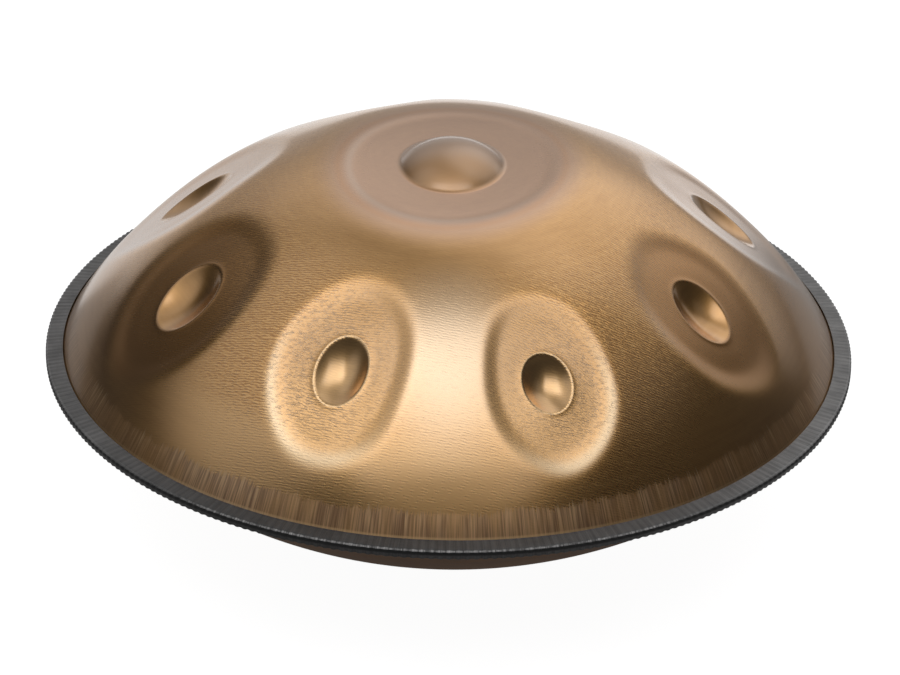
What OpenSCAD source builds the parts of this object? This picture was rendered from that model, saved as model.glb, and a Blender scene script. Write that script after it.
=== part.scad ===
/* [Shells] */
// Diameter of the pan over its flange
pan_d = 530; // [500:1:560]
// Thickness of the steel sheet
sheet = 1.2; // [0.9:0.1:1.5]
// Width of the flange outside the foot of the domed wall
flange_w = 7.7; // [6:0.1:12]
// Outer radius of the sphere that the top dome is part of
dome_r = 301.6; // [290:0.1:330]
// Depth from the flange to the face that the pan rests on
bowl_depth = 110; // [90:1:130]
// Depth the bowl would have if its bottom were not flattened
bowl_full_depth = 116; // [111:1:136]

/* [Ding] */
// Depth of the flat ding field below the top of the dome's sphere
ding_field_drop = 15; // [8:0.5:20]
// Radius of the ding's base
ding_r = 38; // [25:1:45]
// Height of the ding above its field
ding_h = 13.5; // [6:0.5:18]

/* [Tone fields, from the highest note to the lowest] */
// Angle of each field's centre from the dome's axis
field_tilt = [40.2, 39.3, 38.8, 39.2, 39.3, 37.5, 38.8, 38.3]; // [36:0.1:41]
// Direction of each field's centre, from the front (-Y) towards +X
field_turn = [18.6, -20.6, 60, -63.5, 103, -106.5, 150.5, -157]; // [-180:0.5:180]
// Half of each field's width, across the slope
field_a = [40, 44, 46, 52, 54, 57, 60, 63]; // [36:1:65]
// Half of each field's length, up the slope
field_b = [58, 62, 62, 68, 70, 73, 76, 80]; // [50:1:82]
// Half of each dimple's width
dimple_a = [15.5, 16.5, 18, 21, 22, 23, 25, 26]; // [12:0.5:28]
// Half of each dimple's length
dimple_b = [19.5, 23, 24, 26.5, 28, 30, 32, 34]; // [16:0.5:36]
// Depth of each dimple below its field
dimple_depth = 6.5; // [4:0.5:8]

/* [Port] */
// Diameter of the port's straight neck
port_d = 88; // [70:1:110]
// Radius that rolls the bottom into the neck
port_roll = 8; // [5:0.5:12]
// Length of the straight neck
port_neck = 30; // [15:1:50]

/* [Bond] */
// Thickness of the glue line between the flanges
bond_t = 0.3; // [0.2:0.1:0.6]
// How far the squeezed-out bead of glue stands into the pan
bead_r = 1.3; // [0.6:0.1:1.3]
// Height of the bead
bead_h = 1.6; // [0.8:0.1:1.6]

/* [Edge trim] */
// Height of the trim's outer face
trim_h = 6.1; // [5:0.1:8]
// Rubber and clip outside the flange's edge
trim_wall = 3; // [2.5:0.1:4]
// Rise of each leg from the outer face to its lip
trim_leg_rise = 1.3; // [0.5:0.1:2]
// Gap between the two ends of the trim
trim_joint = 0.5; // [0.3:0.1:1.5]
// Number of segments in the steel clip
clip_count = 183; // [120:1:240]
// Thickness of the steel clip
clip_t = 0.5; // [0.4:0.1:0.6]
// Part of the clip's pitch that is steel
clip_share = 0.7; // [0.5:0.05:0.8]
// Length of the clip's legs inside the flange's edge
clip_leg = 6; // [4:0.5:6.5]

/* [Hidden] */

$fn = 180;
big = 2 * pan_d;
pan_r = pan_d / 2;
wall_r = pan_r - flange_w;

// Heights, from the face that the pan rests on
bowl_top = bowl_depth;
bond_z = bowl_top + sheet + bond_t / 2;
dome_foot = bond_z + bond_t / 2 + sheet;
pack_half = sheet + bond_t / 2;

// Centres of the two spheres on the axis
dome_z = dome_foot - sqrt(dome_r * dome_r - wall_r * wall_r);
bowl_r = (wall_r * wall_r + bowl_full_depth * bowl_full_depth) / (2 * bowl_full_depth);
bowl_z = bowl_top - bowl_full_depth + bowl_r;

// The ding is a cap of a sphere that stands on its flat field
ding_field_z = dome_z + dome_r - ding_field_drop;
ding_sphere_r = (ding_r * ding_r + ding_h * ding_h) / (2 * ding_h);

port_r = port_d / 2;
port_roll_r = port_r + port_roll;

// How far a flattened field lies below the sphere at its centre
function field_drop(i) = field_a[i] * field_a[i] / (2 * dome_r);
// Radius up the slope that ends the field at its half length
function field_r(i) = 1 / (1 / dome_r - 2 * field_drop(i) / (field_b[i] * field_b[i]));
// Radius of an arc of the given half chord and depth
function arc_r(half, depth) = (half * half + depth * depth) / (2 * depth);
// Radius of a dimple up the slope, where its field curves away from it
function dimple_long_r(i) = 1 / (1 / arc_r(dimple_b[i], dimple_depth) - 1 / field_r(i));

// Children at the centre of tone field i: Z outwards, X across the slope, Y up it
module at_field(i) {
    translate([0, 0, dome_z])
        rotate([0, 0, field_turn[i]])
            rotate([field_tilt[i], 0, 0])
                translate([0, 0, dome_r - field_drop(i)])
                    children();
}

// Everything under the flattened field, set in by inset
module field_limit(i, inset) {
    at_field(i)
        translate([0, 0, -field_r(i)])
            rotate([0, 90, 0])
                cylinder(r = field_r(i) - inset, h = big, center = true);
}

module field_limits(inset) {
    intersection_for (i = [0 : len(field_a) - 1]) field_limit(i, inset);
}

// The oval bowl that a dimple presses into its field, grown by inset
module dimple_bowl(i, inset) {
    short_r = arc_r(dimple_a[i], dimple_depth);
    long_r = dimple_long_r(i);
    at_field(i)
        translate([0, 0, long_r - dimple_depth])
            rotate([0, 90, 0])
                rotate_extrude()
                    intersection() {
                        translate([long_r - short_r, 0]) circle(r = short_r + inset);
                        translate([0, -big / 2]) square([big, big]);
                    }
}

// The dome with its fields, dimples and ding, as a solid set in by inset
module dome_solid(inset) {
    difference() {
        intersection() {
            translate([0, 0, dome_z]) sphere(r = dome_r - inset);
            field_limits(inset);
            translate([0, 0, ding_field_z - inset - big]) cylinder(r = big, h = big);
        }
        for (i = [0 : len(field_a) - 1]) dimple_bowl(i, inset);
    }
    translate([0, 0, ding_field_z + ding_h - ding_sphere_r]) sphere(r = ding_sphere_r - inset);
}

module flange(z) {
    translate([0, 0, z]) cylinder(r = pan_r, h = sheet);
}

module top_shell() {
    color("#a8834e")
        difference() {
            union() {
                intersection() {
                    dome_solid(0);
                    translate([0, 0, dome_foot - sheet]) cylinder(r = big, h = big);
                }
                flange(dome_foot - sheet);
            }
            dome_solid(sheet);
        }
}

module port_neck() {
    rotate_extrude() {
        translate([port_r, port_roll]) square([sheet, port_neck]);
        intersection() {
            translate([port_roll_r, port_roll])
                difference() {
                    circle(r = port_roll);
                    circle(r = port_roll - sheet);
                }
            translate([port_r, 0]) square(port_roll);
        }
    }
}

module bottom_shell() {
    color("#6b4a30") {
        difference() {
            union() {
                intersection() {
                    translate([0, 0, bowl_z]) sphere(r = bowl_r);
                    cylinder(r = big, h = bowl_top + sheet);
                }
                flange(bowl_top);
            }
            intersection() {
                translate([0, 0, bowl_z]) sphere(r = bowl_r - sheet);
                translate([0, 0, sheet]) cylinder(r = big, h = big);
            }
            translate([0, 0, -1]) cylinder(r = port_roll_r, h = sheet + 2);
        }
        port_neck();
    }
}

// The glue line, with the bead that was squeezed out of it inside the pan
module bond_ring() {
    edge = wall_r - 0.5;
    color("#3a3a38")
        translate([0, 0, bond_z])
            rotate_extrude()
                polygon([[edge, bond_t / 2], [edge - bead_r + 0.3, bead_h / 2], [edge - bead_r, 0],
                         [edge - bead_r + 0.3, -bead_h / 2], [edge, -bond_t / 2],
                         [pan_r, -bond_t / 2], [pan_r, bond_t / 2]]);
}

// Half of the clip's U section: one leg and half of the back
module half_clip() {
    translate([pan_r - clip_leg, pack_half + clip_t]) square([clip_leg + 2 * clip_t, clip_t]);
    translate([pan_r + clip_t, 0]) square([clip_t, pack_half + 2 * clip_t]);
}

module clip_section() {
    half_clip();
    mirror([0, 1]) half_clip();
}

// The rubber's U section, which grips both flanges and leans along both walls
module trim_section() {
    slot_r = wall_r + 0.6;
    top_lip_r = wall_r - 1.6;
    low_lip_r = wall_r - 2;
    lip_z = trim_h / 2 + trim_leg_rise;
    face_r = pan_r + trim_wall;
    difference() {
        polygon([[pan_r, pack_half], [slot_r, pack_half], [top_lip_r, lip_z],
                 [face_r, trim_h / 2], [face_r, -trim_h / 2],
                 [low_lip_r, -lip_z], [slot_r, -pack_half], [pan_r, -pack_half]]);
        clip_section();
    }
}

module edge_trim() {
    cut = 2 * trim_h;
    color("#2b2a29")
        translate([0, 0, bond_z])
            difference() {
                rotate_extrude() trim_section();
                translate([-trim_joint / 2, wall_r - cut, -cut / 2])
                    cube([trim_joint, 3 * cut, cut]);
            }
}

// The steel segments inside the rubber, with the first and last beside its joint
module trim_core() {
    pitch = 360 / clip_count;
    width = 2 * PI * pan_r / clip_count * clip_share;
    color("#9a9a98")
        translate([0, 0, bond_z])
            for (i = [0 : clip_count - 1])
                rotate([0, 0, 90 + (i + 0.5) * pitch])
                    rotate([90, 0, 0])
                        linear_extrude(height = width, center = true)
                            clip_section();
}

top_shell();
bottom_shell();
bond_ring();
edge_trim();
trim_core();
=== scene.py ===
"""A handpan: a note shell and a bowl of bronze-coloured steel, glued at their flanges in a rubber trim."""

import math

import bmesh
import bpy
import numpy as np
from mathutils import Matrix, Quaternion, Vector


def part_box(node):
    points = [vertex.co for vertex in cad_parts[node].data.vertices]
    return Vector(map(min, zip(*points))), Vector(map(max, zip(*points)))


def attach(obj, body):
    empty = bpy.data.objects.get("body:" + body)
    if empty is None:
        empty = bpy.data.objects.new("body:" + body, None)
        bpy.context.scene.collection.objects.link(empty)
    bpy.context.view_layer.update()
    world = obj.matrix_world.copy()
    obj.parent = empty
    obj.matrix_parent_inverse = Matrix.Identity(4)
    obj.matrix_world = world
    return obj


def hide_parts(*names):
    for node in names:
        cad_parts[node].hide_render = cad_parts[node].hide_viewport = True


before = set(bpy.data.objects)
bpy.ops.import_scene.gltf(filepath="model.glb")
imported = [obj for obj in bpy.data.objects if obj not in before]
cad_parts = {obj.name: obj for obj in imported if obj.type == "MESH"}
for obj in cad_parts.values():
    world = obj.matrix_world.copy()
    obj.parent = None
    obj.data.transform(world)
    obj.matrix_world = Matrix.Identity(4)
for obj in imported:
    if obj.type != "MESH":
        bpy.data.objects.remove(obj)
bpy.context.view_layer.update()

# ---------------------------------------------------------------- sizes, in mm

MM = 0.001
SHEET = 1.2
DOME_R = 301.6
WALL_R = 257.3
FLANGE_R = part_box("top_shell")[1][0] / MM
FLANGE_MIDDLE = 261.5
EDGE = 0.4
TRIM_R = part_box("edge_trim")[1][0] / MM
TOP_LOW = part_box("top_shell")[0][2] / MM
BOWL_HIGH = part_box("bottom_shell")[1][2] / MM
BOND_Z = (TOP_LOW + BOWL_HIGH) / 2
DOME_FOOT = TOP_LOW + SHEET
DOME_Z = DOME_FOOT - math.sqrt(DOME_R**2 - WALL_R**2)
DOME_C = np.array([0.0, 0.0, DOME_Z])

# Each tone field: its centre's angle from the axis and turn from the front in degrees, half width and half
# length, its dimple's half width and half length, and how deep it lies below the dome's sphere.
FIELDS = (
    (40.0, 18.6, 40, 58, 15.5, 19.5, 4.1),
    (39.1, -20.6, 44, 62, 16.5, 23, 4.7),
    (38.6, 60, 46, 62, 18, 24, 5.0),
    (39.0, -63.5, 52, 68, 21, 26.5, 5.9),
    (39.3, 103, 54, 70, 22, 28, 7.4),
    (37.5, -106.5, 57, 73, 23, 30, 7.6),
    (38.8, 150.5, 60, 76, 25, 32, 8.5),
    (38.3, -157, 63, 80, 26, 34, 9.0),
)
FIELD_STEP = 1.5
DIMPLE_DEPTH = 6.5
DIMPLE_LIP = 0.18
WAVE_HEIGHT = 0.22

# The ding: its oval field's half widths, turn and step; its own oval, as parts of its radius; its radius,
# that of its cap inside the fillet, its height, and the fillet's share of that.
DING_FIELD = (80.0, 94.0)
DING_FIELD_TURN = math.radians(-8)
DING_STEP = 0.5
DING_OVAL = (0.925, 1.08)
DING_R = 38.5
DING_CAP_R = 35.0
DING_H = 13.5
DING_FILLET_H = 1.2
DING_DROP = DOME_Z + DOME_R + DING_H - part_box("top_shell")[1][2] / MM


# ---------------------------------------------------------------- the dome's shape


def direction(tilt, turn):
    """Unit vector at an angle from +Z, turned from -Y towards +X."""
    return np.array([math.sin(tilt) * math.sin(turn), -math.sin(tilt) * math.cos(turn), math.cos(tilt)])


def field_axes(index):
    """The field's outward normal, the direction across the slope and the direction up it."""
    tilt, turn = (math.radians(a) for a in FIELDS[index][:2])
    normal = direction(tilt, turn)
    across = np.array([math.cos(turn), math.sin(turn), 0.0])
    return normal, across, np.cross(normal, across)


def to_local(dirs, axes):
    """Arc lengths across and up the slope from a field's centre."""
    normal, across, up = axes
    x, y, z = dirs @ across, dirs @ up, dirs @ normal
    reach = np.arccos(np.clip(z, -1, 1)) * DOME_R
    scale = reach / np.maximum(np.hypot(x, y), 1e-9)
    return x * scale, y * scale


def from_local(u, v, axes):
    """Unit directions of points given by arc lengths from a field's centre."""
    normal, across, up = axes
    reach = np.hypot(u, v)
    angle = reach / DOME_R
    side = np.sinc(angle / math.pi) / DOME_R
    return np.cos(angle)[:, None] * normal + side[:, None] * (u[:, None] * across + v[:, None] * up)


def soft_rise(x, width):
    """0 below zero and x above it, rounded over about width."""
    return width * np.logaddexp(0, x / width)


def smooth(x):
    """0 below zero and 1 above one, with a smooth way between."""
    x = np.clip(x, 0, 1)
    return x * x * (3 - 2 * x)


def waviness(dirs):
    """The gentle unevenness that hammering leaves, within a fraction of a millimetre."""
    rng = np.random.default_rng(7)
    total = np.zeros(len(dirs))
    for _ in range(16):
        wave = rng.normal(size=3)
        wave *= rng.uniform(14, 30) / np.linalg.norm(wave)
        total += np.sin(dirs @ wave + rng.uniform(0, 6.28))
    return total / 4


def ding_height(r):
    """Height of the ding above its field: a cap that a small fillet joins to the field."""
    slope = math.asin(DING_CAP_R / ding_sphere())
    fillet = (DING_R - DING_CAP_R) / math.sin(slope)
    cap = DING_H - (ding_sphere() - np.sqrt(np.maximum(ding_sphere() ** 2 - r**2, 0)))
    foot = fillet - np.sqrt(np.maximum(fillet**2 - (DING_R - r) ** 2, 0))
    return np.where(r < DING_CAP_R, cap, np.where(r < DING_R, foot, 0))


def ding_sphere():
    """Radius of the ding's cap, from its height with the fillet's share taken off."""
    rise = DING_H - DING_FILLET_H
    return (DING_CAP_R**2 + rise**2) / (2 * rise)


# From how far out, in half widths of a field or dimple, a point counts as away from it
AWAY = 3.0


def shape(dirs):
    """Depth below the sphere, and how far out a point lies in dimple, field and ding, 1 at the edge."""
    depth = np.zeros(len(dirs))
    dimple, field = np.full(len(dirs), AWAY), np.full(len(dirs), AWAY)
    for index, (_, _, half_u, half_v, dimple_u, dimple_v, drop) in enumerate(FIELDS):
        u, v = to_local(dirs, field_axes(index))
        angle = np.arctan2(v / half_v, u / half_u)
        uneven = 1 + 0.02 * np.sin(3 * angle + index) + 0.012 * np.sin(5 * angle + 2 * index)
        in_field = np.hypot(u / half_u, v / half_v) * uneven
        in_dimple = np.hypot(u / dimple_u, v / dimple_v)
        near = in_field < AWAY
        flat = (drop - FIELD_STEP) * soft_rise(1 - in_field[near] ** 2, 0.12)
        step = FIELD_STEP * smooth((1.12 - in_field[near]) / 0.36)
        bowl = DIMPLE_DEPTH * soft_rise(1 - in_dimple[near] ** 2, 0.05)
        lip = DIMPLE_LIP * np.exp(-(((in_dimple[near] - 1.06) * dimple_u / 1.3) ** 2))
        depth[near] += flat + step + bowl - lip
        dimple = np.minimum(dimple, in_dimple)
        field = np.minimum(field, in_field)
    plan = dirs[:, :2] * (DOME_R - DING_DROP)
    cos, sin = math.cos(DING_FIELD_TURN), math.sin(DING_FIELD_TURN)
    x, y = plan[:, 0] * cos + plan[:, 1] * sin, plan[:, 1] * cos - plan[:, 0] * sin
    ding_field = np.hypot(x / DING_FIELD[0], y / DING_FIELD[1])
    depth += (DING_DROP - DING_STEP) * soft_rise(1 - ding_field**2, 0.16) * (dirs[:, 2] > 0)
    depth += DING_STEP * smooth((0.86 - ding_field) / 0.12)
    r = np.hypot(plan[:, 0] / DING_OVAL[0], plan[:, 1] / DING_OVAL[1])
    depth -= ding_height(r)
    # The waves spare the ding, the foot and the dimples
    arc = np.arccos(np.clip(dirs[:, 2], -1, 1)) * DOME_R
    wavy = smooth((arc - 40) / 40) * smooth((300 - arc) / 30)
    depth += WAVE_HEIGHT * waviness(dirs) * wavy * smooth(dimple - 1)
    return depth, dimple, np.minimum(field, ding_field), r / DING_R


# ---------------------------------------------------------------- meshes


class Net:
    """Points in rings, and the faces between them. Closed rings run once round the axis."""

    def __init__(self):
        self.blocks, self.faces, self.count = [], [], 0

    def add(self, points, offset=0.0, is_dome=True):
        """Adds points: unit directions with how far they lie inside the dome's face, or places in mm."""
        points = np.asarray(points, float)
        self.blocks.append((points, offset, is_dome))
        self.count += len(points)
        return np.arange(self.count - len(points), self.count)

    def join(self, one, two):
        """Faces between two closed rings of one length, or where two has half of one's points."""
        one, two = (two, one) if len(two) > len(one) else (one, two)
        after_one, after_two = np.roll(one, -1), np.roll(two, -1)
        if len(one) == len(two):
            self.faces += np.stack([one, after_one, after_two, two], 1).tolist()
            return
        even, odd, last = one[0::2], one[1::2], after_one[1::2]
        self.faces += np.stack([even, odd, two], 1).tolist()
        self.faces += np.stack([odd, last, after_two, two], 1).tolist()

    def close(self, ring, centre):
        """Triangles from a ring to one point."""
        middle = np.full(len(ring), centre[0])
        self.faces += np.stack([ring, np.roll(ring, -1), middle], 1).tolist()

    def places(self):
        """All points of a net that holds only places in mm."""
        return np.concatenate([points for points, _, _ in self.blocks])


def turns(count):
    """Even turns in radians of a closed ring's points."""
    return np.arange(count) * (2 * math.pi / count)


def dome_ring(arc, count, is_oval=False):
    """Unit directions of a ring at an arc length from the dome's top, or of an oval like the ding's."""
    turn = turns(count)
    wide, deep = DING_OVAL if is_oval else (1.0, 1.0)
    x, y = wide * np.sin(turn), -deep * np.cos(turn)
    tilt = arc / DOME_R * np.hypot(x, y)
    scale = np.sin(tilt) / np.hypot(x, y)
    return np.stack([x * scale, y * scale, np.cos(tilt)], 1)


def plain_ring(r, z, count):
    """A ring of places in mm."""
    turn = turns(count)
    return np.stack([r * np.sin(turn), -r * np.cos(turn), np.full(count, z)], 1)


def arc_points(centre, radius, start, end, count):
    """Points (r, z) on an arc, its angles in degrees from +r towards +z."""
    angle = np.radians(np.linspace(start, end, count))
    return [(centre[0] + radius * math.cos(a), centre[1] + radius * math.sin(a)) for a in angle]


def finish_mesh(name, verts, faces, slots=None, layers=()):
    """An object from vertices in mm, smooth, with its faces turned outwards."""
    mesh = bpy.data.meshes.new(name)
    mesh.from_pydata((verts * MM).tolist(), [], faces)
    mesh.validate()
    mesh.update()
    turned = bmesh.new()
    turned.from_mesh(mesh)
    bmesh.ops.recalc_face_normals(turned, faces=turned.faces)
    turned.to_mesh(mesh)
    turned.free()
    if slots is not None:
        mesh.polygons.foreach_set("material_index", slots)
    for layer, values in layers:
        mesh.attributes.new(layer, "FLOAT", "POINT").data.foreach_set("value", values)
    mesh.polygons.foreach_set("use_smooth", np.ones(len(mesh.polygons), bool))
    obj = bpy.data.objects.new(name, mesh)
    bpy.context.scene.collection.objects.link(obj)
    return obj


# Rings of the dome's face: coarse on the ding, fine round it, then even down to the fillet at its foot
COLUMNS = 480
ROW = 2.6
INNER_ROW = 4.4
CAP_ARCS = np.arange(3.0, 33.0, 3.0)
FOOT_ARCS = np.arange(33.0, 43.5, 0.6)
FACE_START = 50.0
FILLET = 4.0
FILLET_C = (
    math.sqrt((DOME_R + FILLET) ** 2 - (DOME_FOOT + FILLET - DOME_Z) ** 2),
    DOME_FOOT + FILLET,
)
DOME_END = math.atan2(FILLET_C[0], FILLET_C[1] - DOME_Z) * DOME_R
FACE_ARCS = np.linspace(FACE_START, DOME_END, round((DOME_END - FACE_START) / ROW) + 1)
INNER_ARCS = np.linspace(FACE_START, DOME_END, round((DOME_END - FACE_START) / INNER_ROW) + 1)

# A dimple's own rings: the margin of the window that they fill, and their sizes, 1 at the dimple's edge.
# Those of its bowl also say which points of the ring before them they keep: all, or every second.
DIMPLE_MARGIN = 12.0
WINDOW_RINGS = 5
RIM_SCALES = (1.35, 1.22, 1.15, 1.12, 1.09, 1.07, 1.05, 1.03, 1.015, 1.0, 0.985, 0.965, 0.94, 0.91, 0.87)
BOWL_SCALES = (
    (0.8, 1), (0.72, 1), (0.64, 1), (0.56, 2), (0.47, 1), (0.38, 1), (0.29, 2), (0.19, 1), (0.1, 2),
)


def dimple_window(index):
    """First and last row, and first and last column, of the square hole that a dimple's own rings fill."""
    tilt, turn, _, _, dimple_u, dimple_v, _ = FIELDS[index]
    arc, turn = math.radians(tilt) * DOME_R, math.radians(turn)
    step = 2 * math.pi / COLUMNS
    row = int(np.argmin(np.abs(FACE_ARCS - arc)))
    rows = math.ceil((dimple_v + DIMPLE_MARGIN) / (FACE_ARCS[1] - FACE_ARCS[0]))
    column = round(turn / step)
    columns = math.ceil((dimple_u + DIMPLE_MARGIN) / (DOME_R * math.sin(math.radians(tilt)) * step))
    columns += (rows + columns) % 2
    return row - rows, row + rows, column - columns, column + columns


def dimple_rings(net, index, edge, edge_dirs):
    """Rings from the edge of a dimple's window in to its centre, oval from its rim inwards."""
    axes = field_axes(index)
    dimple_u, dimple_v = FIELDS[index][4:6]
    u, v = to_local(edge_dirs, axes)
    angle = np.arctan2(v / dimple_v, u / dimple_u)
    oval_u, oval_v = dimple_u * np.cos(angle), dimple_v * np.sin(angle)
    rings = [edge]
    for k in range(1, WINDOW_RINGS + 1):
        part = k / (WINDOW_RINGS + 1)
        ring_u = u * (1 - part) + oval_u * RIM_SCALES[0] * part
        ring_v = v * (1 - part) + oval_v * RIM_SCALES[0] * part
        rings.append(net.add(from_local(ring_u, ring_v, axes)))
    for scale in RIM_SCALES:
        rings.append(net.add(from_local(oval_u * scale, oval_v * scale, axes)))
    for scale, thin in BOWL_SCALES:
        oval_u, oval_v = oval_u[::thin], oval_v[::thin]
        rings.append(net.add(from_local(oval_u * scale, oval_v * scale, axes)))
    for one, two in zip(rings, rings[1:]):
        net.join(one, two)
    net.close(rings[-1], net.add(from_local(np.zeros(1), np.zeros(1), axes)))


def dome_face(net):
    """The outer face of the dome, and its last ring."""
    rings = [net.add(dome_ring(arc, COLUMNS // 4, True)) for arc in CAP_ARCS]
    rings += [net.add(dome_ring(arc, COLUMNS // 2, True)) for arc in FOOT_ARCS]
    for one, two in zip(rings, rings[1:]):
        net.join(one, two)
    net.close(rings[0], net.add([[0, 0, 1.0]]))
    dirs = [dome_ring(arc, COLUMNS) for arc in FACE_ARCS]
    grid = [net.add(ring) for ring in dirs]
    net.join(rings[-1], grid[0])
    open_cells = np.ones((len(grid) - 1, COLUMNS), bool)
    for index in range(len(FIELDS)):
        top, low, left, right = dimple_window(index)
        columns = np.arange(left, right) % COLUMNS
        open_cells[np.ix_(np.arange(top, low), columns)] = False
        path = [(top, c) for c in range(left, right)] + [(r, right) for r in range(top, low)]
        path += [(low, c) for c in range(right, left, -1)] + [(r, left) for r in range(low, top, -1)]
        edge = np.array([grid[r][c % COLUMNS] for r, c in path])
        edge_dirs = np.array([dirs[r][c % COLUMNS] for r, c in path])
        dimple_rings(net, index, edge, edge_dirs)
    for row, cells in enumerate(open_cells):
        one, two = grid[row], grid[row + 1]
        quads = np.stack([one, np.roll(one, -1), np.roll(two, -1), two], 1)
        net.faces += quads[cells].tolist()
    return grid[-1]


def note_shell():
    """The dome with its flange: the outer face, round the flange's edge and back up the inner face."""
    net = Net()
    rim = [dome_face(net)]
    slope = math.degrees(math.pi / 2 - DOME_END / DOME_R)
    bend = arc_points(FILLET_C, FILLET, 180 + slope, 270, 6)[1:]
    flat_high = [(FLANGE_MIDDLE, DOME_FOOT), (FLANGE_R - EDGE, DOME_FOOT), (FLANGE_R, DOME_FOOT - EDGE)]
    for r, z in bend + flat_high:
        rim.append(net.add(plain_ring(r, z, COLUMNS), is_dome=False))
    flat_low = [(FLANGE_R, TOP_LOW + EDGE), (FLANGE_R - EDGE, TOP_LOW), (FLANGE_MIDDLE, TOP_LOW)]
    under = arc_points(FILLET_C, FILLET + SHEET, 270, 180 + slope, 6)[:-1]
    for r, z in flat_low + under:
        rim.append(net.add(plain_ring(r, z, COLUMNS // 2), is_dome=False))
    outer_count = net.count
    for arc in INNER_ARCS[::-1]:
        rim.append(net.add(dome_ring(arc, COLUMNS // 2), SHEET))
    for arc in FOOT_ARCS[::-2]:
        rim.append(net.add(dome_ring(arc, COLUMNS // 2, True), SHEET))
    for arc in CAP_ARCS[::-1]:
        rim.append(net.add(dome_ring(arc, COLUMNS // 4, True), SHEET))
    for one, two in zip(rim, rim[1:]):
        net.join(one, two)
    net.close(rim[-1], net.add([[0, 0, 1.0]], SHEET))

    verts, layers = [], []
    for points, offset, is_dome in net.blocks:
        if is_dome:
            depth, dimple, field, ding = shape(points)
            verts.append(DOME_C + points * (DOME_R - offset - depth)[:, None])
            layers.append(np.stack([dimple, field, ding], 1))
        else:
            verts.append(points)
            layers.append(np.full((len(points), 3), AWAY))
    verts, layers = np.concatenate(verts), np.concatenate(layers)
    used = np.zeros(len(verts), bool)
    for face in net.faces:
        used[face] = True
    new_index = np.cumsum(used) - 1
    faces = [new_index[face].tolist() for face in net.faces]
    slots = []
    for face in net.faces:
        pressed = layers[face, 0].max() < 1.001 or layers[face, 2].max() < 1.001
        slots.append(2 if min(face) >= outer_count else 1 if pressed else 0)
    named = zip(("dimple", "field", "ding"), layers[used].T)
    return finish_mesh("note_shell", verts[used], faces, slots, [(n, v.copy()) for n, v in named])


def lathe(name, profile, count):
    """A closed ring of the closed profile (r, z)."""
    net = Net()
    rings = [net.add(plain_ring(r, z, count), is_dome=False) for r, z in profile]
    for one, two in zip(rings, rings[1:] + rings[:1]):
        net.join(one, two)
    return finish_mesh(name, net.places(), net.faces)


# The bowl: its full depth is down to where its sphere would end without the flat ring
BOWL_DEPTH = BOWL_HIGH - SHEET
BOWL_FULL_DEPTH = 116.0
BOWL_R = (WALL_R**2 + BOWL_FULL_DEPTH**2) / (2 * BOWL_FULL_DEPTH)
BOWL_C = (0.0, BOWL_DEPTH - BOWL_FULL_DEPTH + BOWL_R)
PORT_R = 44.0
PORT_ROLL = 8.0
PORT_NECK = 30.0
PORT_EDGE = 0.3
REST_RING = (60.0, 56.0)
REST_BLEND = 0.6


def bowl_wall(inset):
    """Points down the bowl's wall from its bend to the flat ring at its bottom, set in by inset."""
    bend = (math.sqrt((BOWL_R + FILLET) ** 2 - (BOWL_C[1] - BOWL_DEPTH + FILLET) ** 2), BOWL_DEPTH - FILLET)
    start = math.degrees(math.atan2(bend[1] - BOWL_C[1], bend[0]))
    points = arc_points(bend, FILLET + inset, 90, start + 180, 6)[:-1]
    for r, z in arc_points(BOWL_C, BOWL_R - inset, start, -80, 64):
        points.append((r, inset + soft_rise(z - inset, REST_BLEND)))
    return points + [(r, inset) for r in REST_RING]


def bowl_shell():
    """The bowl with its flange and its port's rolled edge and neck."""
    roll_c = (PORT_R + PORT_ROLL, PORT_ROLL)
    neck_top = PORT_ROLL + PORT_NECK
    profile = [(FLANGE_R, BOWL_DEPTH + EDGE), (FLANGE_R - EDGE, BOWL_DEPTH)]
    profile += bowl_wall(0)
    profile += arc_points(roll_c, PORT_ROLL, 270, 180, 9)
    neck = np.linspace(PORT_ROLL, neck_top - 0.5, 6)
    profile += [(PORT_R, z) for z in neck[1:]]
    profile += [(PORT_R + PORT_EDGE, neck_top), (PORT_R + SHEET - PORT_EDGE, neck_top)]
    profile += [(PORT_R + SHEET, z) for z in neck[:0:-1]]
    profile += arc_points(roll_c, PORT_ROLL - SHEET, 180, 270, 9)
    profile += bowl_wall(SHEET)[::-1]
    profile += [(FLANGE_R - EDGE, BOWL_HIGH), (FLANGE_R, BOWL_HIGH - EDGE)]
    return lathe("bowl_shell", profile, 360)


def glue_line():
    """The glue between the flanges, with an uneven bead squeezed out of it inside the pan."""
    half = (TOP_LOW - BOWL_HIGH) / 2
    edge = WALL_R - 0.5
    count = 480
    net = Net()
    turn = turns(count)
    swell = 1 + 0.12 * np.sin(23 * turn) * np.sin(7 * turn + 1) + 0.08 * np.sin(61 * turn)
    profile = ((0, half), (-0.5, 0.6), (-0.95, 0.55), (-1.1, 0), (-0.95, -0.5), (-0.5, -0.55), (0, -half))
    rings = []
    for out, z in profile:
        r = edge + out * swell
        ring = np.stack([r * np.sin(turn), -r * np.cos(turn), BOND_Z + z * swell ** (abs(z) > half)], 1)
        rings.append(net.add(ring, is_dome=False))
    for z in (-half, half):
        rings.append(net.add(plain_ring(FLANGE_R, BOND_Z + z, count), is_dome=False))
    for one, two in zip(rings, rings[1:] + rings[:1]):
        net.join(one, two)
    return finish_mesh("glue_line", net.places(), net.faces)


# The edge trim: half its height at the outer edge, at its lips and inside its slot, and its corners'
# radius; its ribs, how deep each point of a rib lies, as a part of the section's rib depth, and how far
# the ribs crowd; and the gap at its joint.
TRIM_HALF = 3.05
TRIM_LIP = 4.2
PACK_HALF = SHEET + (TOP_LOW - BOWL_HIGH) / 2
TRIM_CORNER = 1.1
RIBS = 330
RIB_STEPS = (1.0, 0.8, 0.2, 0.0, 0.2, 0.8)
RIB_CROWDING = 12.5
TRIM_JOINT = 0.5


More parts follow.
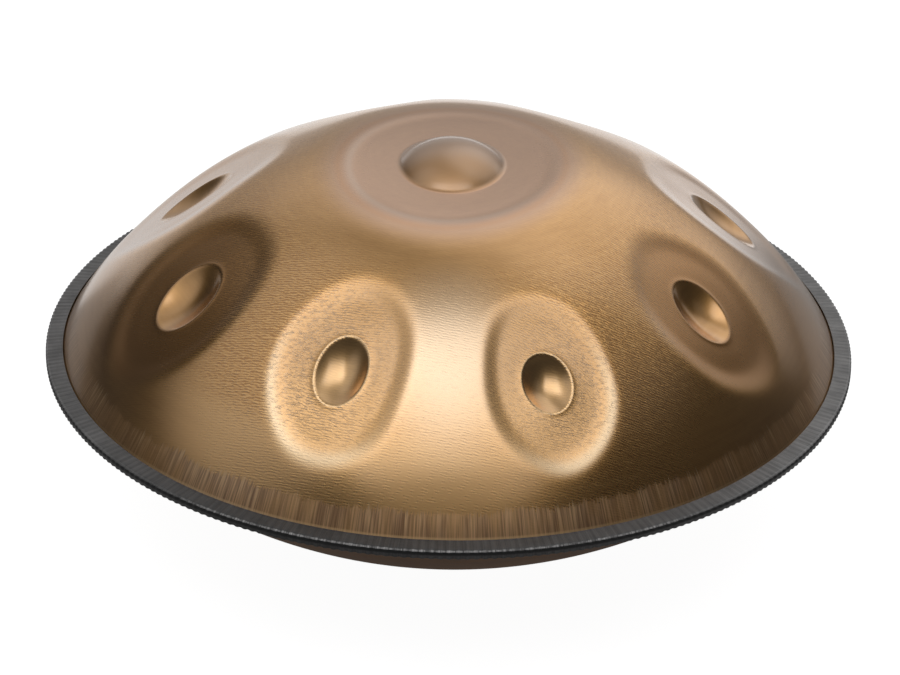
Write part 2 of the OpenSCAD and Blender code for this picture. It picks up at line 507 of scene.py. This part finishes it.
def trim_profile():
    """Points (r, z, rib depth) round the trim's section, from the slot over the top and back to it."""

    def side(sign, lip_r):
        face = [(WALL_R + 0.6, PACK_HALF, 0.0), (lip_r + 0.35, TRIM_LIP - 0.5, 0.0)]
        face += [(lip_r + 0.15, TRIM_LIP - 0.15, 0.0), (lip_r + 0.5, TRIM_LIP + 0.02, 0.03)]
        for part in np.linspace(0.1, 0.86, 8):
            rise = TRIM_LIP + (TRIM_HALF + 0.05 - TRIM_LIP) * part
            face.append((lip_r + (TRIM_R - lip_r) * part, rise, 0.15 + 0.15 * part))
        for r, z in arc_points((TRIM_R - TRIM_CORNER, TRIM_HALF - TRIM_CORNER), TRIM_CORNER, 78, 8, 6):
            face.append((r, z, 0.5))
        face.append((TRIM_R - 0.02, TRIM_HALF - 1.3, 0.4))
        return [(r, sign * z, depth) for r, z, depth in face]

    top, low = side(1, WALL_R - 0.9), side(-1, WALL_R - 2.1)
    middle = [(TRIM_R, 0.5, 0.28), (TRIM_R, -0.5, 0.28)]
    return top + middle + low[::-1] + [(FLANGE_R, -PACK_HALF, 0.0), (FLANGE_R, PACK_HALF, 0.0)]


def rubber_trim():
    """The ribbed trim, open at its joint behind, with a layer that says where painted light falls on it."""
    profile = np.array(trim_profile())
    before, after = np.roll(profile, 1, 0), np.roll(profile, -1, 0)
    along = (after - before)[:, :2]
    outward = np.stack([along[:, 1], -along[:, 0]], 1)
    outward /= np.linalg.norm(outward, axis=1)[:, None]
    if outward[profile[:, 0].argmax(), 0] < 0:
        outward = -outward
    steps = len(RIB_STEPS)
    gap = TRIM_JOINT / 2 / TRIM_R
    place = np.linspace(-math.pi, math.pi, 4 * RIBS)
    phase = place - RIB_CROWDING / RIBS * np.sin(2 * place)
    turn = np.interp(np.linspace(-math.pi, math.pi, RIBS * steps + 1), phase, place)
    turn = turn.clip(gap - math.pi, math.pi - gap)
    ribs = np.resize(RIB_STEPS, len(turn))
    r = profile[:, 0] - np.outer(ribs, profile[:, 2] * outward[:, 0])
    z = profile[:, 1] - np.outer(ribs, profile[:, 2] * outward[:, 1])
    verts = np.stack([r * np.sin(turn)[:, None], -r * np.cos(turn)[:, None], BOND_Z + z], 2)
    count = len(profile)
    index = np.arange(len(turn) * count).reshape(len(turn), count)
    one, two = index[:-1], index[1:]
    quads = np.stack([one, np.roll(one, -1, 1), np.roll(two, -1, 1), two], 2).reshape(-1, 4)
    faces = quads.tolist() + [index[0, ::-1].tolist(), index[-1].tolist()]
    # Painted light on the trim: a highlight on the top corner, a sheen on the top and low faces, and less
    # of both in the ribs' grooves, a painted shade.
    high = profile[:, 1] > TRIM_HALF - 0.7
    corner = (profile[:, 2] > 0.45) & high
    face = 0.2 * high + 0.22 * (profile[:, 1] < -0.4)
    painted_light = np.where(corner, 1 - 0.2 * ribs[:, None], face * (1 - 0.25 * ribs[:, None]))
    return finish_mesh("rubber_trim", verts.reshape(-1, 3), faces, layers=[("wear", painted_light.ravel())])


# ---------------------------------------------------------------- materials


class Nodes:
    """Short calls for building the node tree of a material, or of the world."""

    def __init__(self, name, owner=None):
        self.material = owner or bpy.data.materials.new(name)
        self.material.use_nodes = True
        self.tree = self.material.node_tree
        self.surface = self.tree.nodes["Background" if owner else "Principled BSDF"]
        self.place = self.node("ShaderNodeTexCoord").outputs["Generated" if owner else "Object"]

    def node(self, kind, **settings):
        node = self.tree.nodes.new(kind)
        for key, value in settings.items():
            setattr(node, key, value)
        return node

    def plug(self, socket, value):
        if isinstance(value, bpy.types.NodeSocket):
            self.tree.links.new(value, socket)
        else:
            socket.default_value = value

    def put(self, **values):
        """Sets inputs of the surface, named with _ for each space."""
        for key, value in values.items():
            self.plug(self.surface.inputs[key.replace("_", " ")], value)

    def math(self, operation, *values, clamp=False):
        node = self.node("ShaderNodeMath", operation=operation, use_clamp=clamp)
        for socket, value in zip(node.inputs, values):
            self.plug(socket, value)
        return node.outputs[0]

    def times(self, first, *others, clamp=False):
        for value in others:
            first = self.math("MULTIPLY", first, value, clamp=clamp)
        return first

    def plus(self, first, *others, clamp=False):
        for value in others:
            first = self.math("ADD", first, value, clamp=clamp)
        return first

    def minus(self, one, two):
        return self.math("SUBTRACT", one, two)

    def swing(self, value, size):
        """A noise value's swing about its mean, 0.5, times a size."""
        return self.times(self.minus(value, 0.5), size)

    def vector(self, operation, *values, out=0):
        node = self.node("ShaderNodeVectorMath", operation=operation)
        for socket, value in zip(node.inputs, values):
            self.plug(socket, value)
        return node.outputs[out]

    def split(self, vector):
        node = self.node("ShaderNodeSeparateXYZ")
        self.plug(node.inputs[0], vector)
        return node.outputs

    def join(self, x, y, z):
        node = self.node("ShaderNodeCombineXYZ")
        for socket, value in zip(node.inputs, (x, y, z)):
            self.plug(socket, value)
        return node.outputs[0]

    def span(self, value, low, high, to_low=0.0, to_high=1.0, kind="SMOOTHSTEP"):
        """A value's way from low to high, as a way from to_low to to_high, clamped at both ends."""
        node = self.node("ShaderNodeMapRange", interpolation_type=kind)
        for socket, item in zip(node.inputs, (value, low, high, to_low, to_high)):
            self.plug(socket, item)
        return node.outputs[0]

    def spread(self, noise, to_low, to_high):
        """The usual range of a noise value, as an even way from to_low to to_high."""
        return self.span(noise, 0.3, 0.7, to_low, to_high, "LINEAR")

    def stripe(self, value, middle, inner, outer, strength):
        """The strength where a value lies within inner of the middle, falling to 0 at outer."""
        return self.span(self.math("ABSOLUTE", self.minus(value, middle)), inner, outer, strength, 0.0)

    def noise(self, vector, scale, detail=3.0, roughness=0.5):
        node = self.node("ShaderNodeTexNoise")
        self.plug(node.inputs["Vector"], vector)
        node.inputs["Scale"].default_value = scale
        node.inputs["Detail"].default_value = detail
        node.inputs["Roughness"].default_value = roughness
        return node.outputs[0]

    def mix(self, part, one, two):
        node = self.node("ShaderNodeMix", data_type="RGBA")
        for socket, value in zip((node.inputs[0], node.inputs[6], node.inputs[7]), (part, one, two)):
            self.plug(socket, value)
        return node.outputs[2]

    def bump(self, height, distance):
        node = self.node("ShaderNodeBump")
        node.inputs["Strength"].default_value = 1.0
        node.inputs["Distance"].default_value = distance
        self.plug(node.inputs["Height"], height)
        return node.outputs[0]

    def layer(self, name):
        return self.node("ShaderNodeAttribute", attribute_name=name).outputs["Fac"]


def polar(n, centre_z):
    """Cosine and sine of the turn round Z, and the arc in m down a sphere of the dome's radius."""
    x, y, z = n.split(n.vector("SUBTRACT", n.place, (0, 0, centre_z * MM)))
    flat = n.math("SQRT", n.plus(n.times(x, x), n.times(y, y)))
    arc = n.times(n.math("ARCTAN2", flat, z), DOME_R * MM)
    return n.math("DIVIDE", x, flat), n.math("DIVIDE", y, flat), arc


def ring_noise(n, centre_z, turn_scale, arc_scale, detail=2.0, roughness=0.6):
    """Noise with its own scales round the Z axis and down the slope: streaks one way or the other."""
    c, s, arc = polar(n, centre_z)
    spot = n.join(n.times(c, turn_scale), n.times(s, turn_scale), n.times(arc, arc_scale))
    return n.noise(spot, 1.0, detail, roughness)


# Places on the dome, in m: the arc at which its top ends, how far aside its front does, and the middle of
# the painted highlight between the nearest two fields
TOP_END = (0.11, 0.13)
FRONT_END = (0.09, 0.15)
HIGHLIGHT_AT = (0.0, -0.175, 0.2)

BRONZE_DARK = (0.56, 0.255, 0.06, 1)
BRONZE_PALE = (1.0, 0.57, 0.20, 1)
# Grey of the painted sheen at the dome's two sides
BRONZE_SHEEN = (0.66, 0.42, 0.27, 1)
# Pale colour of the painted highlight between the nearest two fields
BRONZE_HIGHLIGHT = (0.95, 0.69, 0.44, 1)
# Pale colour of the painted highlight on the step round the ding's field
BRONZE_RING_HIGHLIGHT = (0.80, 0.62, 0.48, 1)
BRONZE_ORANGE = (0.75, 0.36, 0.13, 1)
FIELD_HIGH = (0.55, 0.29, 0.085, 1)
FIELD_LOW = (0.80, 0.45, 0.16, 1)
LOW_PALE = (1.0, 0.60, 0.25, 1)
# Pale colours of the painted highlights on the fields' lower rims and on the dimples' lips
RIM_HIGHLIGHT = (0.92, 0.70, 0.43, 1)
LIP_HIGHLIGHT = (1.0, 0.72, 0.39, 1)
# Grey of the painted sheen on the ding's field
TOP_SHEEN = (0.67, 0.43, 0.335, 1)
DING_BROWN = (0.62, 0.34, 0.13, 1)
# The ding's grey behind, a painted reflection, and its dark band, a painted shade
DING_REFLECTION = (0.72, 0.52, 0.38, 1)
DING_SHADE = (0.34, 0.20, 0.11, 1)
BAND_PALE = (0.88, 0.55, 0.30, 1)
BAND_DARK = (0.42, 0.235, 0.12, 1)
TICK_PALE = (1.0, 0.66, 0.34, 1)
BOWL_DARK = (0.23, 0.115, 0.05, 1)
BOWL_PALE = (0.36, 0.19, 0.085, 1)
RUBBER_BLACK = (0.004, 0.004, 0.004, 1)
# Grey of the rubber's painted sheen and highlight
RUBBER_SHEEN = (0.80, 0.785, 0.78, 1)
GLUE_DARK = (0.03, 0.03, 0.028, 1)
GLUE_PALE = (0.07, 0.068, 0.06, 1)
INNER_BROWN = (0.32, 0.22, 0.13)
CLIP_GREY = (0.6, 0.6, 0.61)


def strokes(n, turn, pitch):
    """Brush lines, -1 to 1, a pitch in m apart, that cross the dome sideways, turned in degrees."""
    turned = n.node("ShaderNodeVectorRotate", rotation_type="Z_AXIS")
    n.plug(turned.inputs["Vector"], n.vector("SUBTRACT", n.place, (0, 0, DOME_Z * MM)))
    turned.inputs["Angle"].default_value = -math.radians(turn)
    x, y, z = n.split(turned.outputs[0])
    across = n.times(n.math("ARCTAN2", y, z), DOME_R * MM)
    spot = n.join(n.times(x, 210.0), n.times(across, 420.0), 0.0)
    drift = n.times(n.noise(spot, 0.6, 3.0, 0.6), 12.0)
    line = n.math("SINE", n.plus(n.times(across, 2 * math.pi / pitch), drift))
    return n.times(line, n.span(n.noise(spot, 1.0, 1.0), 0.35, 0.65, 0.15, 1.0))


class ShellNodes(Nodes):
    """A material of the note shell, with the places that its looks follow. Lengths are in m."""

    def __init__(self, name, is_pressed):
        super().__init__(name)
        self.is_pressed = is_pressed
        self.x, self.y, _ = self.split(self.place)
        self.aside = self.math("ABSOLUTE", self.x)
        self.slope = polar(self, DOME_Z)[2]
        self.foot = self.minus(DOME_END * MM, self.slope)
        self.field, self.ding, self.dimple = (self.layer(key) for key in ("field", "ding", "dimple"))
        self.on_top = self.span(self.slope, *TOP_END, 1.0, 0.0)
        self.on_ding = self.span(self.ding, 0.93, 1.0, 1.0, 0.0)

    def scratches(self):
        """Crossed brush lines, coarse on the flanks, finer in front, on top, in fields and at the foot."""
        main, cross = strokes(self, -13, 0.0018), strokes(self, -36, 0.0021)
        hatch = self.plus(self.times(main, 0.8), self.times(cross, 0.4))
        return self.times(
            self.math("MAXIMUM", hatch, -0.75),
            self.span(self.slope, 0.11, 0.17, 0.2, 1.2),
            self.span(self.field, 0.8, 1.1, self.span(self.aside, 0.07, 0.13, 1.25, 0.65), 1.0),
            self.span(self.aside, 0.02, 0.10, 0.7, 1.75),
            self.span(self.aside, 0.125, 0.165, 1.0, 0.25),
            self.span(self.slope, 0.235, 0.27, 1.0, 0.35),
            0.12 if self.is_pressed else 1.0,
        )

    def foot_strokes(self):
        """The dull band of strokes up from the trim, its ticks, their groups, and the bright ones."""
        fringe = ring_noise(self, DOME_Z, 260.0, 0.0, 2.0, 0.7)
        sweep = ring_noise(self, DOME_Z, 9.0, 0.0, 2.0, 0.5)
        limit = self.plus(self.spread(fringe, 0.0135, 0.0195), self.spread(sweep, -0.002, 0.002))
        below = self.minus(limit, self.foot)
        band = self.times(self.span(below, -0.001, 0.001), self.span(self.aside, 0.14, 0.21, 1.0, 0.45))
        ticks = ring_noise(self, DOME_Z, 240.0, 26.0)
        groups = ring_noise(self, DOME_Z, 14.0, 20.0, 2.0, 0.5)
        bright = self.times(
            self.span(self.plus(ticks, self.swing(groups, 0.5)), 0.57, 0.68),
            self.span(below, -0.0032, -0.0014),
            self.span(self.foot, 0.003, 0.011, 0.3, 1.0),
        )
        bright = self.math("MAXIMUM", bright, self.span(self.foot, 0.0014, 0.0024, 0.8, 0.0))
        return band, ticks, groups, bright

    def side_colours(self, colour):
        """Paler low in front, to the left, with other tones in the fields, a painted highlight on the
        pressed skin in front, and greyer at the two sides, a painted sheen.
        """
        low = self.times(self.span(self.x, -0.19, -0.14), self.span(self.x, 0.0, 0.10, 1.0, 0.0))
        colour = self.mix(self.times(low, self.span(self.slope, 0.235, 0.262, 0.0, 0.7)), colour, LOW_PALE)
        if self.is_pressed:
            # The pressed skin paler in front: a painted highlight.
            colour = self.mix(self.span(self.aside, *FRONT_END, 0.3, 0.0), colour, LIP_HIGHLIGHT)
        else:
            inside = self.span(self.field, 0.9, 1.08, 0.75, 0.0)
            inside = self.times(inside, self.span(self.slope, *TOP_END))
            front = self.mix(self.span(self.slope, 0.195, 0.235), FIELD_HIGH, FIELD_LOW)
            tone = self.mix(self.span(self.aside, *FRONT_END), front, BRONZE_DARK)
            colour = self.mix(inside, colour, tone)
        # Greyer towards the two sides: a painted sheen, the reflection that the flanks catch.
        sheen_share = 0.1 if self.is_pressed else 0.4
        return self.mix(self.span(self.aside, 0.15, 0.25, 0.0, sheen_share), colour, BRONZE_SHEEN)

    def highlight_colours(self, colour):
        """Painted highlights: a pale patch between the nearest two fields, pale on their lower rims, and on
        the dimples' lips.
        """
        # A pale patch between the nearest two fields: a painted highlight.
        away = self.vector("MULTIPLY", self.vector("SUBTRACT", self.place, HIGHLIGHT_AT), (1.0, 0.9, 0.0))
        highlight = self.span(self.vector("LENGTH", away, out=1), 0.01, 0.06, 0.95, 0.0)
        highlight = self.times(highlight, self.span(self.field, 0.92, 1.12, 0.15, 1.0))
        colour = self.mix(highlight, colour, BRONZE_HIGHLIGHT)
        # The fields' lower rims painted pale in front: a painted highlight.
        rim = self.times(
            self.stripe(self.field, 0.98, 0.0, 0.15, self.span(self.slope, 0.17, 0.24, 0.0, 0.68)),
            self.span(self.aside, 0.12, 0.15, 1.0, 0.0),
            self.span(self.aside, 0.03, 0.075, 0.15, 1.0),
        )
        colour = self.mix(rim, colour, RIM_HIGHLIGHT)
        # The dimples' lips painted pale, most in front: a painted highlight.
        lip = self.stripe(self.dimple, 1.045, 0.0, 0.06, self.span(self.aside, 0.08, 0.13, 0.45, 0.12))
        return self.mix(lip, colour, LIP_HIGHLIGHT)

    def top_colours(self, colour):
        """The ding's field, greyer, a painted sheen, edged by a pale ring, a painted highlight, and an
        orange line; and the ding itself, with painted sheen and shade.
        """
        # The ding's field greyer on top: a painted sheen, the reflection of the pale studio.
        painted_top = self.times(self.span(self.field, 0.85, 1.12, 0.6, 0.0), self.on_top)
        colour = self.mix(painted_top, colour, TOP_SHEEN)
        # A pale ring on the field's step, brighter to the front left: a painted highlight.
        ring_highlight = self.times(
            self.stripe(self.field, 0.81, 0.0, 0.05, 0.35),
            self.on_top,
            self.span(self.plus(self.y, self.x), -0.06, 0.05, 1.0, 0.2),
        )
        colour = self.mix(ring_highlight, colour, BRONZE_RING_HIGHLIGHT)
        line = self.times(self.stripe(self.field, 0.89, 0.0, 0.05, 0.4), self.on_top)
        colour = self.mix(line, colour, BRONZE_ORANGE)
        # The ding grey behind, a painted reflection, and darker across its middle, a painted shade.
        painted_top = self.mix(self.span(self.y, -0.016, 0.012), DING_BROWN, DING_REFLECTION)
        painted_top = self.mix(self.stripe(self.y, -0.003, 0.0, 0.02, 0.4), painted_top, DING_SHADE)
        colour = self.mix(self.times(self.on_ding, 0.75), colour, painted_top)
        edge = self.stripe(self.ding, 0.97, 0.0, 0.05, 0.5)
        return self.mix(self.times(edge, self.span(self.y, -0.03, 0.0, 1.0, 0.0)), colour, BRONZE_ORANGE)


def shell_steel(name, rough, is_pressed=False):
    """Brushed steel for the dome, or the smoother skin of the ding and the dimples, pressed into it."""
    n = ShellNodes(name, is_pressed)
    marks = n.scratches()
    streaks = ring_noise(n, DOME_Z, 6.0, 260.0, 3.0)
    cloud = n.noise(n.place, 9.0, 3.0, 0.55)
    tone = n.plus(n.times(marks, 0.7), n.swing(cloud, 0.5), n.swing(streaks, 0.5))
    colour = n.mix(n.plus(tone, 0.5, clamp=True), BRONZE_DARK, BRONZE_PALE)
    colour = n.top_colours(n.highlight_colours(n.side_colours(colour)))
    dull = n.times(n.on_ding, 0.14)
    if not is_pressed:
        band, ticks, groups, bright = n.foot_strokes()
        brown = n.mix(n.span(ticks, 0.32, 0.68), BAND_DARK, BAND_PALE)
        colour = n.mix(n.times(band, n.span(groups, 0.35, 0.6, 0.6, 1.0)), colour, brown)
        colour = n.mix(n.times(bright, 0.75), colour, TICK_PALE)
        marks = n.plus(n.times(marks, n.minus(1.0, band)), n.swing(ticks, n.times(band, 1.8)))
        dull = n.plus(dull, n.times(band, 0.16))
    n.put(Base_Color=colour, Metallic=1.0, Roughness=n.plus(dull, n.plus(n.times(marks, 0.03), rough)))
    n.put(Coat_Weight=1.0, Coat_Roughness=0.15, Coat_IOR=1.85, Normal=n.bump(marks, 0.00003))
    return n.material


def trim_rubber():
    """Black rubber with a patchy painted grey sheen on its faces, more at the back, and a painted highlight
    brightest on its corner in front.
    """
    n = Nodes("trim_rubber")
    x, y, _ = n.split(n.place)
    grain = n.noise(n.place, 900.0, 3.0, 0.6)
    fine = ring_noise(n, DOME_Z, 420.0, 30.0)
    cloud = n.noise(n.place, 60.0, 4.0, 0.65)
    teeth = ring_noise(n, DOME_Z, 180.0, 30.0, 2.0, 0.7)
    # The layer read here holds the trim's painted light.
    painted_light = n.layer("wear")
    # The corner's painted highlight, toothed, strongest in front.
    toothed = n.times(n.span(y, -0.25, -0.19, 0.6, 0.12), n.span(teeth, 0.38, 0.62, 0.35, 1.25))
    corner = n.times(painted_light, n.times(n.span(painted_light, 0.25, 0.5), toothed))
    # The faces' painted sheen, more at the back and to the right.
    face = n.times(
        n.math("MINIMUM", painted_light, 0.25),
        n.span(y, -0.26, -0.1, 0.52, 1.5),
        n.span(x, -0.15, 0.1, 0.7, 1.12),
    )
    patchy = n.span(n.plus(cloud, fine), 0.7, 1.3, 0.6, 1.2)
    painted_sheen = n.times(n.math("MAXIMUM", corner, face), patchy, clamp=True)
    n.put(Base_Color=n.mix(painted_sheen, RUBBER_BLACK, RUBBER_SHEEN), Roughness=n.spread(grain, 0.36, 0.5))
    n.put(Specular_IOR_Level=0.6, Normal=n.bump(n.plus(grain, fine), 0.0001))
    return n.material


def plain_steel(name, colour, rough):
    """Dull steel with a fine grain, for surfaces that hardly show."""
    n = Nodes(name)
    grain = n.noise(n.place, 400.0, 4.0, 0.6)
    n.put(Base_Color=n.mix(grain, tuple(0.7 * c for c in colour) + (1,), colour + (1,)), Metallic=1.0)
    n.put(Roughness=n.spread(grain, rough - 0.06, rough + 0.06), Normal=n.bump(grain, 0.0001))
    return n.material


def bowl_steel():
    """Dark bronze-coloured steel with faint brush lines round the bowl."""
    n = Nodes("bowl_steel")
    streaks = ring_noise(n, BOWL_C[1], 8.0, 320.0, 3.0)
    cloud = n.noise(n.place, 14.0, 4.0, 0.55)
    tone = n.times(n.plus(streaks, cloud), 0.5)
    n.put(Base_Color=n.mix(n.span(tone, 0.35, 0.65), BOWL_DARK, BOWL_PALE), Metallic=1.0)
    n.put(Roughness=n.spread(streaks, 0.37, 0.47), Normal=n.bump(streaks, 0.00006))
    return n.material


def glue():
    """Dark, slightly rough adhesive."""
    n = Nodes("glue")
    grain = n.noise(n.place, 260.0, 3.0, 0.6)
    n.put(Base_Color=n.mix(grain, GLUE_DARK, GLUE_PALE), Roughness=0.45, Normal=n.bump(grain, 0.0003))
    return n.material


def wear(piece, *materials):
    """Gives a piece its materials, in place of any that it has."""
    piece.data.materials.clear()
    for material in materials:
        piece.data.materials.append(material)


# ---------------------------------------------------------------- the pieces

INNER = plain_steel("inner_steel", INNER_BROWN, 0.5)
TOP = shell_steel("bronze_brushed", 0.28)
PRESSED = shell_steel("bronze_pressed", 0.31, is_pressed=True)

shell = note_shell()
slots = np.zeros(len(shell.data.polygons), np.int32)
shell.data.polygons.foreach_get("material_index", slots)
wear(shell, TOP, PRESSED, INNER)
shell.data.polygons.foreach_set("material_index", slots)
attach(shell, "root")
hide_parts("top_shell")

bowl = bowl_shell()
wear(bowl, bowl_steel())
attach(bowl, "root")
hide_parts("bottom_shell")

bead = glue_line()
wear(bead, glue())
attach(bead, "root")
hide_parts("bond_ring")

trim = rubber_trim()
wear(trim, trim_rubber())
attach(trim, "root")
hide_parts("edge_trim")

wear(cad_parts["trim_core"], plain_steel("clip_steel", CLIP_GREY, 0.35))

# ---------------------------------------------------------------- floor, light and camera

AIM = Vector((0, 0, 0.1144))


def bearing(height, turn):
    """Unit vector at a height in degrees over the horizon, turned from the front towards +X."""
    height, turn = math.radians(height), math.radians(turn)
    return Vector((math.sin(turn) * math.cos(height), -math.cos(turn) * math.cos(height), math.sin(height)))


# Soft glows round the studio: height and turn of the middle, the angles between which it fades, strength
GLOWS = (
    (72, 152, 0, 26, 0.25),
    (58, 97, 5, 30, 0.15),
    (53, -86, 10, 38, 0.44),
    (44, -152, 2, 30, 0.24),
    (42, 150, 8, 34, 0.60),
    (17, 180, 15, 48, 0.30),
    (15, 135, 3, 15, 0.32),
    (-1, -152, 3, 13, 0.40),
)
DIM = 0.03
WHITE = (1, 1, 1, 1)
PAPER_GREY = (0.3, 0.3, 0.3, 1)
PAPER_BRIGHTNESS = 0.96


def ceiling_box(n, x, y, z):
    """A wide soft box overhead, a little in front, given by its place on a ceiling at height 1."""
    height = n.math("MAXIMUM", z, 0.05)
    across, front = n.math("DIVIDE", x, height), n.math("DIVIDE", n.times(y, -1.0), height)
    side = n.span(n.math("ABSOLUTE", across), 0.42, 0.63, 1.0, 0.0)
    return n.times(side, n.span(front, -0.12, 0.2), n.span(front, 0.5, 1.2, 1.28, 0.0))


def studio():
    """A dim world with a soft box and glows, that the camera itself sees as white."""
    world = bpy.data.worlds.new("studio")
    bpy.context.scene.world = world
    n = Nodes("studio", world)
    light = n.plus(ceiling_box(n, *n.split(n.place)), DIM)
    for height, turn, inner, outer, strength in GLOWS:
        near = n.vector("DOT_PRODUCT", n.place, bearing(height, turn), out=1)
        glow = n.span(near, math.cos(math.radians(outer)), math.cos(math.radians(inner)), 0.0, strength)
        light = n.plus(light, glow)
    seen = n.node("ShaderNodeLightPath").outputs["Is Camera Ray"]
    n.put(Color=WHITE, Strength=n.math("MAXIMUM", light, seen))


def paper_floor():
    """A pale sheet, lit more strongly behind the pan, that keeps a faint shadow."""
    bpy.ops.mesh.primitive_plane_add(size=12, location=(0, 0, 0))
    floor = bpy.context.object
    floor.name = "floor"
    n = Nodes("floor_paper")
    n.put(Base_Color=PAPER_GREY, Roughness=0.9, Specular_IOR_Level=0.0, Emission_Color=WHITE)
    x, y, _ = n.split(n.place)
    aside = n.math("DIVIDE", n.plus(x, 0.04), n.math("MAXIMUM", n.plus(y, 0.2), 0.05))
    left = n.plus(n.span(aside, -0.69, -0.59, 0.0, 0.7), n.span(aside, -0.3, -0.1, 0.0, 0.3))
    lit = n.times(left, n.span(aside, 0.36, 0.60, 0.75, 0.0), n.span(y, 0.1, 0.3))
    seen = n.node("ShaderNodeLightPath").outputs["Is Camera Ray"]
    unseen = n.times(n.math("MAXIMUM", lit, 0.1), n.minus(1.0, seen))
    n.put(Emission_Strength=n.plus(unseen, n.times(seen, PAPER_BRIGHTNESS)))
    wear(floor, n.material)


studio()
paper_floor()

ELEVATION = 29.1
DISTANCE = 2.4355
ROLL = math.radians(1.08)
camera = bpy.data.objects.new("camera", bpy.data.cameras.new("camera"))
bpy.context.scene.collection.objects.link(camera)
away = bearing(ELEVATION, 0)
camera.location = AIM + DISTANCE * away
camera.rotation_mode = "QUATERNION"
camera.rotation_quaternion = away.to_track_quat("Z", "Y") @ Quaternion((0, 0, 1), ROLL)
camera.data.lens = 145.84
camera.data.sensor_width = 36
camera.data.shift_x = 0.0012
camera.data.shift_y = -0.0018
bpy.context.scene.camera = camera
bpy.context.scene.view_settings.view_transform = "Standard"
